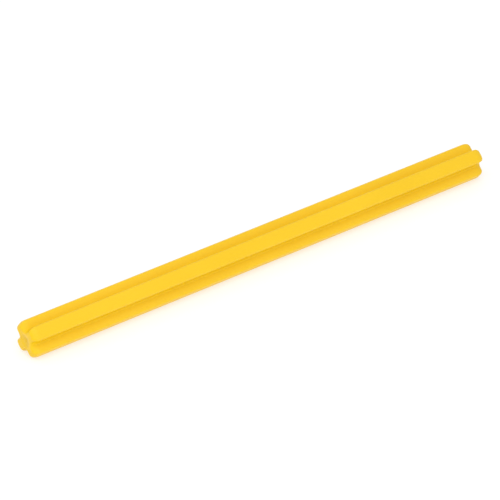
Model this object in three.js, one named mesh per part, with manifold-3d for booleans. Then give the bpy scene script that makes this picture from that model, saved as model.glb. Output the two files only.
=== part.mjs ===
// A cross axle of a construction toy: one moulded plastic bar of cross-shaped section.
// Millimetres. The bar lies along X with the origin at its middle, and +Z is up.
// Its ribs stand at 45 degrees to the ground, so it rests on the tips of its two lower ribs.
import * as THREE from "three";
import { LoftGeometry } from "three/addons/geometries/LoftGeometry.js";
import { mergeVertices } from "three/addons/utils/BufferGeometryUtils.js";
import Module from "manifold-3d";

// The toy's holes are one module apart, and an axle is a whole number of modules long.
const MODULE = 8;
const AXLE_MODULES = 9;
const LENGTH = AXLE_MODULES * MODULE;

// The cross section, away from the ends.
const TIP_RADIUS = 2.4; // round holes carry the axle by its rib tips, which lie on this circle
const RIB_THICKNESS = 1.84;
const TIP_EDGE_RADIUS = 0.24; // between a rib's tip and its flanks
const ROOT_RADIUS = 0.38; // in the corner between two ribs

// Each end is rounded over, more deeply on the rib tips than on the flanks.
const ROUND_LENGTH = 1.05;
const TIP_ROUND_DEPTH = 0.7;
const FLANK_ROUND_DEPTH = 0.5;

// The mould filled through one end, and left a shallow bowl there with a low round spot in it.
const GATE_BOWL_RADIUS = 0.86;
const GATE_BOWL_DEPTH = 0.12;
const GATE_SPOT_RADIUS = 0.25;
const GATE_SPOT_HEIGHT = 0.05;

// How finely curves are divided.
const TIP_STEPS = 6;
const EDGE_STEPS = 3;
const ROOT_STEPS = 5;
const ROUND_STEPS = 7;
const BOWL_STEPS = 6;
const GATE_STEPS = 40;

const RIBS = 4;
const RIB_PITCH = (2 * Math.PI) / RIBS;
const FIRST_RIB_ANGLE = RIB_PITCH / 2;
const QUARTER_TURN = Math.PI / 2;

const wasm = await Module();
wasm.setup();

// A closed geometry as a solid that can be cut. Only its positions and faces are kept.
function solidFrom(geometry) {
  const bare = new THREE.BufferGeometry();
  bare.setAttribute("position", geometry.getAttribute("position"));
  bare.setIndex(geometry.index);
  const merged = mergeVertices(bare);
  return new wasm.Manifold(
    new wasm.Mesh({
      numProp: 3,
      vertProperties: merged.attributes.position.array,
      triVerts: new Uint32Array(merged.index.array),
    }),
  );
}

function geometryFrom(solid) {
  const { vertProperties, triVerts } = solid.getMesh();
  const shared = new THREE.BufferGeometry();
  shared.setAttribute("position", new THREE.BufferAttribute(vertProperties, 3));
  shared.setIndex(new THREE.BufferAttribute(triVerts, 1));
  const faceted = shared.toNonIndexed();
  faceted.computeVertexNormals();
  return faceted;
}

// Points on an arc, both ends included.
function arc(centreX, centreY, radius, startAngle, endAngle, steps) {
  const points = [];
  for (let i = 0; i <= steps; i++) {
    const angle = THREE.MathUtils.lerp(startAngle, endAngle, i / steps);
    const x = centreX + radius * Math.cos(angle);
    const y = centreY + radius * Math.sin(angle);
    points.push(new THREE.Vector2(x, y));
  }
  return points;
}

// How far a rounded-over end has drawn in, at a distance from the end face: a quarter ellipse.
function drawnIn(depth, fromEnd) {
  const rise = 1 - Math.min(fromEnd / ROUND_LENGTH, 1);
  return depth * (1 - Math.sqrt(1 - rise * rise));
}

// One rib, pointing along x: an edge, the tip, the other edge, and the fillet to the next rib.
function ribOutline(fromEnd) {
  const flankDrop = drawnIn(FLANK_ROUND_DEPTH, fromEnd);
  const tipRadius = TIP_RADIUS - drawnIn(TIP_ROUND_DEPTH, fromEnd);
  const half = RIB_THICKNESS / 2 - flankDrop;
  const rootRadius = ROOT_RADIUS + flankDrop;
  const root = half + rootRadius;
  const edgeY = half - TIP_EDGE_RADIUS;
  const edgeX = Math.sqrt((tipRadius - TIP_EDGE_RADIUS) ** 2 - edgeY ** 2);
  const tipAngle = Math.atan2(edgeY, edgeX);
  const lowerEdge = arc(edgeX, -edgeY, TIP_EDGE_RADIUS, -QUARTER_TURN, -tipAngle, EDGE_STEPS);
  const tip = arc(0, 0, tipRadius, -tipAngle, tipAngle, TIP_STEPS);
  const upperEdge = arc(edgeX, edgeY, TIP_EDGE_RADIUS, tipAngle, QUARTER_TURN, EDGE_STEPS);
  const fillet = arc(root, root, rootRadius, -QUARTER_TURN, -2 * QUARTER_TURN, ROOT_STEPS);
  return [...lowerEdge.slice(0, -1), ...tip, ...upperEdge.slice(1), ...fillet];
}

// The whole cross at one place along the bar.
function section(x) {
  const rib = ribOutline(LENGTH / 2 - Math.abs(x));
  const middle = new THREE.Vector2(0, 0);
  const points = [];
  for (let i = 0; i < RIBS; i++) {
    for (const point of rib) {
      const turned = point.clone().rotateAround(middle, FIRST_RIB_ANGLE + i * RIB_PITCH);
      points.push(new THREE.Vector3(x, turned.x, turned.y));
    }
  }
  return points;
}

// Sections crowd towards the end faces, where the surface turns fastest.
function bar() {
  const places = [];
  for (let i = 0; i <= ROUND_STEPS; i++) {
    const fromEnd = ROUND_LENGTH * (1 - Math.cos((i / ROUND_STEPS) * QUARTER_TURN));
    places.push(LENGTH / 2 - fromEnd);
  }
  const nearToFar = [...places.map((x) => -x), ...places.reverse()];
  return new LoftGeometry(nearToFar.map(section), { capStart: true, capEnd: true });
}

// What the gate mark takes away: a slice of a sphere around a low round spot, at the -X end.
function gateBowl() {
  const outside = -GATE_BOWL_RADIUS;
  const sphere = (GATE_BOWL_RADIUS ** 2 + GATE_BOWL_DEPTH ** 2) / (2 * GATE_BOWL_DEPTH);
  const rim = Math.acos(GATE_BOWL_RADIUS / sphere);
  const spotEdge = Math.acos(GATE_SPOT_RADIUS / sphere);
  const spotLevel = GATE_BOWL_DEPTH - GATE_SPOT_HEIGHT;
  const profile = [
    new THREE.Vector2(0, outside),
    new THREE.Vector2(GATE_BOWL_RADIUS, outside),
    ...arc(0, GATE_BOWL_DEPTH - sphere, sphere, rim, spotEdge, BOWL_STEPS),
    new THREE.Vector2(GATE_SPOT_RADIUS, spotLevel),
    new THREE.Vector2(0, spotLevel),
  ];
  const turned = new THREE.LatheGeometry(profile, GATE_STEPS);
  return turned.rotateZ(-QUARTER_TURN).translate(-LENGTH / 2, 0, 0);
}

function crossAxle() {
  const solid = solidFrom(bar()).subtract(solidFrom(gateBowl()));
  const yellowPlastic = new THREE.MeshStandardMaterial({
    color: 0xfccd34,
    roughness: 0.3,
    metalness: 0,
  });
  const axle = new THREE.Mesh(geometryFrom(solid), yellowPlastic);
  axle.name = "cross_axle";
  return axle;
}

const part = new THREE.Group();
part.add(crossAxle());

export default part;
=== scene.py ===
"""A yellow plastic cross axle of a construction toy, on a pale floor under soft studio light."""

import math

import bpy
import numpy as np
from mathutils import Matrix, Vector


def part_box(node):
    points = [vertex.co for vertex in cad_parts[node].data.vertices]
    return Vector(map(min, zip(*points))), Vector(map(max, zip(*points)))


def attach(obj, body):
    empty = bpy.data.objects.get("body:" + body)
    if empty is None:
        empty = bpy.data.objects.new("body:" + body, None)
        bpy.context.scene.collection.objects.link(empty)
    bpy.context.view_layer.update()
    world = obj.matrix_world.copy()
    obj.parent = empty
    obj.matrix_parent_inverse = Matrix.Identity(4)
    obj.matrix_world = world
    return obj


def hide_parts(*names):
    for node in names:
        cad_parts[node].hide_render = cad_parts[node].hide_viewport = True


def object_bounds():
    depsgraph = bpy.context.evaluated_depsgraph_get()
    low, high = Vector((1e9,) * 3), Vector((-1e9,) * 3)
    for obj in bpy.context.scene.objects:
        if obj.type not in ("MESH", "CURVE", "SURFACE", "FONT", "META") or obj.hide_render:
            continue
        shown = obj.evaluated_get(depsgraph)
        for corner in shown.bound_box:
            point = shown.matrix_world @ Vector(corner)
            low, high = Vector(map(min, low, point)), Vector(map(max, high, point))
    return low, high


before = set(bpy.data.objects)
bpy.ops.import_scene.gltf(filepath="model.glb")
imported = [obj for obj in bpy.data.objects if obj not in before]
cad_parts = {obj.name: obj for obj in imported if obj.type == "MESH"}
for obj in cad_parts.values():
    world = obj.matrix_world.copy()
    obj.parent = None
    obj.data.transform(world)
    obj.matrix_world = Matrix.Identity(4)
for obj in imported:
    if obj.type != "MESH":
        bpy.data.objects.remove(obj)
cad_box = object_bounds()

MM = 0.001
NODE = "cross_axle"
RIBS = 4
QUARTER_TURN = math.pi / 2
FIRST_RIB_ANGLE = QUARTER_TURN / 2

# The axle's section and ends, as in the CAD model.
RIB_THICKNESS = 1.84 * MM
TIP_EDGE_RADIUS = 0.24 * MM
ROOT_RADIUS = 0.38 * MM
ROUND_LENGTH = 1.05 * MM
TIP_ROUND_DEPTH = 0.7 * MM
FLANK_ROUND_DEPTH = 0.5 * MM
GATE_BOWL_RADIUS = 0.86 * MM
GATE_BOWL_DEPTH = 0.12 * MM
GATE_SPOT_RADIUS = 0.25 * MM
GATE_SPOT_HEIGHT = 0.05 * MM

# Finer moulding detail, which the CAD model leaves out.
BOWL_LIP = 0.07 * MM  # how far outside the bowl its rounded lip reaches
LIP_SOFTNESS = 0.06  # as a share of the bowl's depth
SPOT_WALL = 0.06 * MM
SPOT_ROUGHNESS = 0.01 * MM  # the spot is torn, not moulded
TORN_AND_HIGHLIT_SIDE = (0, -0.71, 0.71)  # the side of the gate bowl's rim that takes its painted highlight and torn roughness; the bowl's darker colour leans this way too
WITNESS_HEIGHT = 0.008 * MM  # of the line where the mould's halves met
WITNESS_RIBS = (0, 2)

# How far the marks of use and moulding, the painted shade in the grooves and on the ends, and the
# painted highlight on the gate bowl's rim reach.
EDGE_WEAR_REACH = 0.55 * MM
END_WEAR_REACH = 1.3 * MM
GROOVE_REACH = 0.9 * MM
END_FACE_REACH = 0.9 * MM
TORN_RADIUS = 0.93 * MM  # of the pale band on the gate bowl's rim, a painted highlight that also carries torn roughness
TORN_REACH = 0.36 * MM

# How finely the mesh is divided.
TIP_STEPS = 16
EDGE_STEPS = 6
FLANK_STEPS = 5
ROOT_STEPS = 10
ROUND_STEPS = 16
BAR_STEPS = 96
FACE_STEPS = 6
BOWL_STEPS = 32
FAR_FACE_STEPS = 4

# The yellow plastic: linear colours, roughness, and shine, which is the shader's specular level.
BRIGHT_YELLOW = (0.875, 0.550, 0.0040)
DEEP_YELLOW = (0.848, 0.527, 0.0005)
# Painted shade, for the corners of the grooves.
GROOVE_SHADE_YELLOW = (0.810, 0.487, 0.0012)
WORN_YELLOW = (0.880, 0.610, 0.0030)
# Painted shade, for the ends.
END_SHADE_YELLOW = (0.830, 0.528, 0.0015)
BOWL_YELLOW = (0.750, 0.470, 0.0060)
# A painted highlight, for the gate bowl's rim.
RIM_HIGHLIGHT_YELLOW = (0.890, 0.585, 0.095)
NOISE_RANGE = (0.3, 0.7)  # nearly all of a noise's values lie between these
PAINTED_LIGHT_FALLOFF = -0.0065  # painted light fall-off: how the brightness of the colour falls per millimetre along +X
WEAR_STRENGTH = 0.5  # how much of the worn colour a fully worn edge takes
SMOOTH, MATT = 0.36, 0.44
SCRATCH_ROUGHNESS, WEAR_ROUGHNESS, TORN_ROUGHNESS = 0.06, 0.08, 0.2  # added to the rest
PLASTIC_IOR = 1.5
FULL_SHINE, GROOVE_SHINE = 0.5, 0.25  # grooves stay duller than the faces that get rubbed
END_DULLNESS = 0.65  # of the end faces, where a groove's is 1

# How high or deep the marks on its surface are.
PEEL_HEIGHT = 0.006 * MM
FIBRE_HEIGHT = 0.006 * MM
SCRATCH_DEPTH = 0.004 * MM
NICK_DEPTH = 0.012 * MM
SCRATCH_SQUEEZE = 0.06  # along the bar their pattern changes this much more slowly than across

# The camera: azimuth round the object from its front, elevation, and distance.
CAMERA_AZIMUTH = math.radians(-37.91)
CAMERA_ELEVATION = math.radians(31.41)
CAMERA_DISTANCE = 0.474
CAMERA_CLIP = 0.01  # nothing nearer than this is drawn
CAMERA_LENS = 269.4  # this and the sensor's width are in millimetres
SENSOR_WIDTH = 36
AIM_LEFT = 1.054 * MM  # the camera points a little left of the axle's middle, and below it
AIM_BELOW = 0.43 * MM

# The studio: soft boxes of one size, all at one distance, an even white tent, and the floor.
BOX_SIZE = 1.2
BOX_DISTANCE = 0.8
TENT_STRENGTH = 0.7
FLOOR_HALF_WIDTH = 3.0
FLOOR_WHITENESS = 0.45
FLOOR_GLOW = 0.57
FLOOR_ROUGHNESS = 0.7
FLOOR_SHINE = 0.2


# ---- The axle's mesh --------------------------------------------------------------------


def smooth_step(value):
    """0 below 0, 1 above 1, and a smooth rise between."""
    t = np.clip(value, 0, 1)
    return t * t * (3 - 2 * t)


def arc(centre, radius, start, end, steps):
    """Points on an arc, both ends included."""
    angles = np.linspace(start, end, steps + 1)
    spokes = np.column_stack([np.cos(angles), np.sin(angles)])
    return np.array(centre) + radius * spokes


def between(start, end, steps):
    """Points on a line, without its two ends."""
    return np.linspace(start, end, steps + 1)[1:-1]


def drawn_in(depth, from_end):
    """How far a rounded-over end has drawn in at a distance from its face: a quarter ellipse."""
    rise = 1 - min(from_end / ROUND_LENGTH, 1)
    return depth * (1 - math.sqrt(1 - rise * rise))


def rib_outline(tip_radius, from_end, witness):
    """One rib, pointing along x: its tip with an edge each side, its flank, the fillet at its
    root, and the next rib's flank."""
    flank_drop = drawn_in(FLANK_ROUND_DEPTH, from_end)
    tip_radius -= drawn_in(TIP_ROUND_DEPTH, from_end)
    half = RIB_THICKNESS / 2 - flank_drop
    root_radius = ROOT_RADIUS + flank_drop
    root = half + root_radius
    edge_y = half - TIP_EDGE_RADIUS
    edge_x = math.sqrt((tip_radius - TIP_EDGE_RADIUS) ** 2 - edge_y**2)
    tip_angle = math.atan2(edge_y, edge_x)
    lower_edge = arc((edge_x, -edge_y), TIP_EDGE_RADIUS, -QUARTER_TURN, -tip_angle, EDGE_STEPS)
    tip = arc((0, 0), tip_radius, -tip_angle, tip_angle, TIP_STEPS)
    tip[TIP_STEPS // 2, 0] += witness
    upper_edge = arc((edge_x, edge_y), TIP_EDGE_RADIUS, tip_angle, QUARTER_TURN, EDGE_STEPS)
    fillet = arc((root, root), root_radius, -QUARTER_TURN, -2 * QUARTER_TURN, ROOT_STEPS)
    flank = between(upper_edge[-1], fillet[0], FLANK_STEPS)
    next_flank = between(fillet[-1], (half, edge_x), FLANK_STEPS)
    return np.vstack([lower_edge[:-1], tip, upper_edge[1:], flank, fillet, next_flank])


def cross(tip_radius, from_end):
    """The whole section at a distance from the nearer end face, as points (y, z)."""
    ribs = []
    for i in range(RIBS):
        witness = WITNESS_HEIGHT if i in WITNESS_RIBS else 0
        angle = FIRST_RIB_ANGLE + i * QUARTER_TURN
        cos, sin = math.cos(angle), math.sin(angle)
        turn = np.array([[cos, sin], [-sin, cos]])
        ribs.append(rib_outline(tip_radius, from_end, witness) @ turn)
    return np.vstack(ribs)


def ring(x, section):
    """A section as points in space. x is one place along the bar, or one for each point."""
    places = np.broadcast_to(x, len(section))
    return np.column_stack([places, section])


def circle_like(section, radius):
    """The points of a circle that lie in the same directions as the section's points."""
    lengths = np.linalg.norm(section, axis=1, keepdims=True)
    return section / lengths * radius


def face_rings(x, edge, inner_radius):
    """Flat rings from the edge of an end face in towards a circle, without either."""
    inner = circle_like(edge, inner_radius)
    shares = between(0, 1, FACE_STEPS)
    return [ring(x, edge * (1 - share) + inner * share) for share in shares]


def bowl_depth(section):
    """How deep the gate mark is at each point: a bowl with a soft lip and a torn spot in it."""
    radius = np.linalg.norm(section, axis=1)
    inside = 1 - (radius / GATE_BOWL_RADIUS) ** 2
    bowl = (inside + np.sqrt(inside**2 + LIP_SOFTNESS**2)) / 2
    spot = smooth_step((GATE_SPOT_RADIUS - radius) / SPOT_WALL + 0.5)
    y, z = section[:, 0] / MM, section[:, 1] / MM
    # Crossed ripples about 0.3 mm apart, and finer, lower ones over them.
    coarse = np.sin(23 * y + 4 * z) * np.sin(19 * z - 5 * y)
    fine = np.sin(41 * y * z + 31 * z)
    torn = coarse + 0.6 * fine
    return GATE_BOWL_DEPTH * bowl - (GATE_SPOT_HEIGHT + SPOT_ROUGHNESS * torn) * spot


def gate_rings(x, edge):
    """Rings across the gate mark, from outside its lip to near its middle."""
    rings = []
    for radius in np.linspace(GATE_BOWL_RADIUS + BOWL_LIP, 0, BOWL_STEPS + 1)[:-1]:
        section = circle_like(edge, radius)
        rings.append(ring(x + bowl_depth(section), section))
    return rings


def axle_rings(low, high, tip_radius):
    """Every ring of the surface, from the middle of the gate mark to the middle of the far end."""
    steps = np.linspace(0, QUARTER_TURN, ROUND_STEPS + 1)
    from_end = ROUND_LENGTH * (1 - np.cos(steps))
    rounded = [cross(tip_radius, distance) for distance in from_end]
    face = rounded[0]
    plain = rounded[-1]
    outer = GATE_BOWL_RADIUS + BOWL_LIP
    rings = gate_rings(low, face)[::-1]
    rings += face_rings(low, face, outer)[::-1]
    rings += [ring(low + d, section) for d, section in zip(from_end, rounded)]
    rings += [ring(x, plain) for x in between(low + ROUND_LENGTH, high - ROUND_LENGTH, BAR_STEPS)]
    rings += [ring(high - d, section) for d, section in zip(from_end[::-1], rounded[::-1])]
    rings += face_rings(high, face, outer)
    radii = np.linspace(outer, 0, FAR_FACE_STEPS + 1)[:-1]
    rings += [ring(high, circle_like(face, radius)) for radius in radii]
    return rings


def lofted_mesh(name, rings):
    """A closed mesh through rings of equally many points, with a fan over each end."""
    count = len(rings[0])
    near_pole = rings[0].mean(axis=0)
    far_pole = rings[-1].mean(axis=0)
    points = np.vstack([*rings, near_pole, far_pole])
    faces = []
    for i in range(len(rings) - 1):
        for j in range(count):
            a = i * count + j
            b = i * count + (j + 1) % count
            faces.append((a, b, b + count, a + count))
    near, far = len(points) - 2, len(points) - 1
    last = (len(rings) - 1) * count
    for j in range(count):
        k = (j + 1) % count
        faces.append((near, k, j))
        faces.append((far, last + j, last + k))
    mesh = bpy.data.meshes.new(name)
    mesh.from_pydata(points.tolist(), [], faces)
    mesh.shade_smooth()
    mesh.validate()
    return mesh


def mark_surface(mesh, low, high, tip_radius):
    """Gives each vertex a share, from 0 to 1, of each thing that the material treats apart."""
    places = np.array([vertex.co for vertex in mesh.vertices])
    x, y, z = places.T
    cos, sin = math.cos(FIRST_RIB_ANGLE), math.sin(FIRST_RIB_ANGLE)
    turned = np.abs(np.column_stack([y * cos + z * sin, z * cos - y * sin]))
    along, across = turned.max(axis=1), turned.min(axis=1)
    half = RIB_THICKNESS / 2
    to_edge = np.hypot(along - tip_radius, across - half)
    to_corner = np.hypot(along - half, across - half)
    to_end = np.minimum(x - low, high - x)
    radius = np.hypot(y, z)
    rib_edge = smooth_step(1 - to_edge / EDGE_WEAR_REACH)
    end_edge = smooth_step(1 - to_end / END_WEAR_REACH) * smooth_step(radius / half - 1)
    # 1 as deep as the bowl goes, and 0 past twice that.
    near_end = smooth_step(2 - (x - low) / GATE_BOWL_DEPTH)
    in_bowl = smooth_step(1 - (radius - GATE_BOWL_RADIUS) / BOWL_LIP) * near_end
    # 1 on the side of the painted rim highlight and torn roughness, and 0 on the side away from
    # it.
    torn_and_highlit_side = (1 + places @ TORN_AND_HIGHLIT_SIDE / np.maximum(radius, BOWL_LIP)) / 2
    # The band where the material paints a highlight on the gate bowl's rim and adds torn
    # roughness.
    torn_rim_and_highlight = smooth_step(1 - np.abs(radius - TORN_RADIUS) / TORN_REACH) * near_end
    marks = {
        "worn_edge": np.maximum(rib_edge, end_edge),
        # Where the material paints shade in the grooves' corners and dulls their shine.
        "groove": smooth_step(1 - to_corner / GROOVE_REACH),
        # Where the material paints shade on the ends and dulls their shine.
        "end_face": smooth_step(1 - to_end / END_FACE_REACH),
        "bowl": in_bowl * (1 + torn_and_highlit_side) / 2,
        # Where the material paints a highlight on the gate bowl's rim, with torn roughness.
        "torn": torn_rim_and_highlight * torn_and_highlit_side**3,
    }
    for name, values in marks.items():
        attribute = mesh.attributes.new(name, "FLOAT", "POINT")
        attribute.data.foreach_set("value", values.astype(np.float32))


def make_axle(material):
    low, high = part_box(NODE)
    corners = np.array([v.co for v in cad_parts[NODE].data.vertices])
    tip_radius = np.linalg.norm(corners[:, 1:], axis=1).max()
    mesh = lofted_mesh("axle_body", axle_rings(low.x, high.x, tip_radius))
    mark_surface(mesh, low.x, high.x, tip_radius)
    axle = bpy.data.objects.new("axle_body", mesh)
    bpy.context.scene.collection.objects.link(axle)
    axle.data.materials.append(material)
    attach(axle, "root")
    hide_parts(NODE)


# ---- Materials --------------------------------------------------------------------------


def new_material(name):
    material = bpy.data.materials.new(name)
    material.use_nodes = True
    tree = material.node_tree
    tree.nodes.clear()
    output = tree.nodes.new("ShaderNodeOutputMaterial")
    shader = tree.nodes.new("ShaderNodeBsdfPrincipled")
    tree.links.new(shader.outputs["BSDF"], output.inputs["Surface"])
    return material, tree, shader


def add_node(tree, kind, inputs, **settings):
    """A shader node. An input is another node's output, or a value."""
    node = tree.nodes.new("ShaderNode" + kind)
    for name, value in settings.items():
        setattr(node, name, value)
    for name, value in inputs.items():
        if isinstance(value, bpy.types.NodeSocket):
            tree.links.new(value, node.inputs[name])
        else:
            node.inputs[name].default_value = value
    return node


def noise(tree, place, scale, detail, roughness=0.5):
    """A noise between 0 and 1, with about scale lumps to one unit of place."""
    inputs = {"Vector": place, "Scale": scale, "Detail": detail, "Roughness": roughness}
    return add_node(tree, "TexNoise", inputs).outputs["Fac"]


def stretch(tree, place, factors):
    node = add_node(tree, "VectorMath", {0: place, 1: factors}, operation="MULTIPLY")
    return node.outputs["Vector"]


def remap(tree, value, low, high, to_low=0.0, to_high=1.0):
    """A smooth rise from to_low to to_high, as the value goes from low to high."""
    names = ("Value", "From Min", "From Max", "To Min", "To Max")
    inputs = dict(zip(names, (value, low, high, to_low, to_high)))
    return add_node(tree, "MapRange", inputs, interpolation_type="SMOOTHSTEP").outputs["Result"]


def multiply(tree, value, factor):
    return add_node(tree, "Math", {0: value, 1: factor}, operation="MULTIPLY").outputs["Value"]


def multiply_add(tree, value, factor, addend):
    inputs = {0: value, 1: factor, 2: addend}
    return add_node(tree, "Math", inputs, operation="MULTIPLY_ADD").outputs["Value"]


def larger(tree, first, second):
    return add_node(tree, "Math", {0: first, 1: second}, operation="MAXIMUM").outputs["Value"]


def blend_colours(tree, share, first, second):
    """first where share is 0, second where it is 1. first may be another node's output."""
    factor, a, b, result = 0, 6, 7, 2  # the places of the node's colour sockets
    if not isinstance(first, bpy.types.NodeSocket):
        first = (*first, 1)
    node = add_node(tree, "Mix", {factor: share, a: first, b: (*second, 1)}, data_type="RGBA")
    return node.outputs[result]


def mark(tree, name):
    return add_node(tree, "Attribute", {}, attribute_name=name).outputs["Fac"]


def bump(tree, height, depth, under=None):
    """The normal of a surface that stands depth metres proud where height is 1. It may lie over
    another, whose normal is under."""
    inputs = {"Height": height, "Distance": depth, "Strength": 1.0}
    if under:
        inputs["Normal"] = under
    return add_node(tree, "Bump", inputs).outputs["Normal"]


def yellow_plastic():
    """Glossy moulded plastic, a little uneven in colour and shine, with the faint marks of use,
    the light's fall-off along the bar painted in, painted shade in its grooves and on its ends,
    and a painted highlight on the gate bowl's rim.
    """
    material, tree, shader = new_material("yellow_plastic")
    place = add_node(tree, "TexCoord", {}).outputs["Object"]
    millimetres = stretch(tree, place, (1 / MM, 1 / MM, 1 / MM))
    drawn_out = stretch(tree, place, (SCRATCH_SQUEEZE / MM, 1 / MM, 1 / MM))
    along = add_node(tree, "SeparateXYZ", {0: millimetres}).outputs["X"]

    # The patterns, from the broadest to the finest.
    # Random tone, with the light's fall-off along the bar painted in: darker towards +X.
    tone_and_light_falloff = noise(tree, millimetres, scale=0.11, detail=2.0)
    tone_and_light_falloff = multiply_add(tree, along, PAINTED_LIGHT_FALLOFF, tone_and_light_falloff)
    tone_and_light_falloff = remap(tree, tone_and_light_falloff, low=0.2, high=0.8)
    scuffs = noise(tree, millimetres, scale=0.9, detail=5.0, roughness=0.65)
    scuffs = remap(tree, scuffs, low=0.47, high=0.66)
    mottle = noise(tree, millimetres, scale=1.3, detail=4.0, roughness=0.6)
    peel = noise(tree, millimetres, scale=2.4, detail=2.0, roughness=0.45)
    nicks = noise(tree, millimetres, scale=3.2, detail=3.0, roughness=0.6)
    nicks = remap(tree, nicks, low=0.58, high=0.70)
    scratches = noise(tree, drawn_out, scale=9.0, detail=4.0, roughness=0.7)
    scratches = remap(tree, scratches, low=0.60, high=0.72)
    fibres = noise(tree, millimetres, scale=16.0, detail=4.0, roughness=0.7)

    # Where on the axle they show.
    wear = multiply(tree, mark(tree, "worn_edge"), scuffs)
    # Painted shade in the grooves' corners, uneven.
    groove_shade = remap(tree, mottle, *NOISE_RANGE, to_low=0.2, to_high=0.6)
    groove_shade = multiply(tree, mark(tree, "groove"), groove_shade)
    # A painted highlight on the gate bowl's rim; torn roughness and fibres go with it.
    torn = remap(tree, fibres, *NOISE_RANGE, to_low=0.5, to_high=1.0)
    torn = multiply(tree, mark(tree, "torn"), torn)

    # Random tone with painted light fall-off, painted shade in the grooves, wear, painted shade on
    # the ends, the gate bowl, and a painted highlight on its rim.
    colour = blend_colours(tree, tone_and_light_falloff, DEEP_YELLOW, BRIGHT_YELLOW)
    colour = blend_colours(tree, groove_shade, colour, GROOVE_SHADE_YELLOW)
    colour = blend_colours(tree, multiply(tree, wear, WEAR_STRENGTH), colour, WORN_YELLOW)
    colour = blend_colours(tree, mark(tree, "end_face"), colour, END_SHADE_YELLOW)
    colour = blend_colours(tree, mark(tree, "bowl"), colour, BOWL_YELLOW)
    colour = blend_colours(tree, torn, colour, RIM_HIGHLIGHT_YELLOW)
    tree.links.new(colour, shader.inputs["Base Color"])

    roughness = remap(tree, mottle, *NOISE_RANGE, SMOOTH, MATT)
    roughness = multiply_add(tree, scratches, SCRATCH_ROUGHNESS, roughness)
    roughness = multiply_add(tree, wear, WEAR_ROUGHNESS, roughness)
    roughness = multiply_add(tree, torn, TORN_ROUGHNESS, roughness)
    tree.links.new(roughness, shader.inputs["Roughness"])

    surface = bump(tree, peel, PEEL_HEIGHT)
    surface = bump(tree, scratches, -SCRATCH_DEPTH, surface)
    surface = bump(tree, multiply(tree, wear, nicks), -NICK_DEPTH, surface)
    surface = bump(tree, multiply(tree, torn, fibres), FIBRE_HEIGHT, surface)
    tree.links.new(surface, shader.inputs["Normal"])

    dull_ends = multiply(tree, mark(tree, "end_face"), END_DULLNESS)
    dullness = larger(tree, mark(tree, "groove"), dull_ends)
    shine = multiply_add(tree, dullness, GROOVE_SHINE - FULL_SHINE, FULL_SHINE)
    tree.links.new(shine, shader.inputs["Specular IOR Level"])
    shader.inputs["IOR"].default_value = PLASTIC_IOR
    return material


def pale_floor():
    """A white sheet softly lit from below, on which things cast only a faint shadow."""
    material, _, shader = new_material("pale_floor")
    shader.inputs["Base Color"].default_value = (*[FLOOR_WHITENESS] * 3, 1)
    shader.inputs["Emission Color"].default_value = (1, 1, 1, 1)
    shader.inputs["Emission Strength"].default_value = FLOOR_GLOW
    shader.inputs["Roughness"].default_value = FLOOR_ROUGHNESS
    shader.inputs["Specular IOR Level"].default_value = FLOOR_SHINE
    return material


# ---- Floor, light and camera ------------------------------------------------------------


def towards(azimuth, elevation):
    """The direction that a camera or a lamp stands in. Azimuth 0 is in front, at -Y."""
    flat = math.cos(elevation)
    return Vector((math.sin(azimuth) * flat, -math.cos(azimuth) * flat, math.sin(elevation)))


def make_floor(level):
    corner_signs = [(-1, -1), (1, -1), (1, 1), (-1, 1)]
    corners = [(x * FLOOR_HALF_WIDTH, y * FLOOR_HALF_WIDTH, level) for x, y in corner_signs]
    mesh = bpy.data.meshes.new("floor")
    mesh.from_pydata(corners, [], [(0, 1, 2, 3)])
    floor = bpy.data.objects.new("floor", mesh)
    bpy.context.scene.collection.objects.link(floor)
    floor.data.materials.append(pale_floor())


def soft_box(name, azimuth, elevation, watts, mirrored):
    """A soft box that looks at the axle, in degrees, its azimuth counted from the camera's.
    The plastic shows a reflection of it only if it is mirrored."""
    direction = towards(CAMERA_AZIMUTH + math.radians(azimuth), math.radians(elevation))
    light = bpy.data.lights.new(name, "AREA")
    light.shape = "SQUARE"
    light.size = BOX_SIZE
    light.energy = watts
    lamp = bpy.data.objects.new(name, light)
    lamp.location = direction * BOX_DISTANCE
    lamp.visible_glossy = mirrored
    lamp.rotation_euler = direction.to_track_quat("Z", "Y").to_euler()
    bpy.context.scene.collection.objects.link(lamp)


def light_studio():
    world = bpy.data.worlds.new("studio")
    bpy.context.scene.world = world
    world.use_nodes = True
    tent = world.node_tree.nodes["Background"]
    tent.inputs["Color"].default_value = (1, 1, 1, 1)
    tent.inputs["Strength"].default_value = TENT_STRENGTH
    soft_box("front_box", azimuth=0, elevation=42, watts=4.0, mirrored=False)
    soft_box("top_box", azimuth=-60, elevation=65, watts=1.8, mirrored=True)


def make_camera():
    right = Vector((math.cos(CAMERA_AZIMUTH), math.sin(CAMERA_AZIMUTH), 0))
    back = towards(CAMERA_AZIMUTH, CAMERA_ELEVATION)
    up = back.cross(right)
    data = bpy.data.cameras.new("camera")
    data.sensor_width = SENSOR_WIDTH
    data.lens = CAMERA_LENS
    data.clip_start = CAMERA_CLIP
    camera = bpy.data.objects.new("camera", data)
    camera.location = back * CAMERA_DISTANCE
    look = -right * AIM_LEFT - up * AIM_BELOW - camera.location
    camera.rotation_euler = look.to_track_quat("-Z", "Y").to_euler()
    bpy.context.scene.collection.objects.link(camera)
    bpy.context.scene.camera = camera


bpy.context.scene.view_settings.view_transform = "Standard"
make_camera()
light_studio()
make_floor(cad_box[0].z)
make_axle(yellow_plastic())
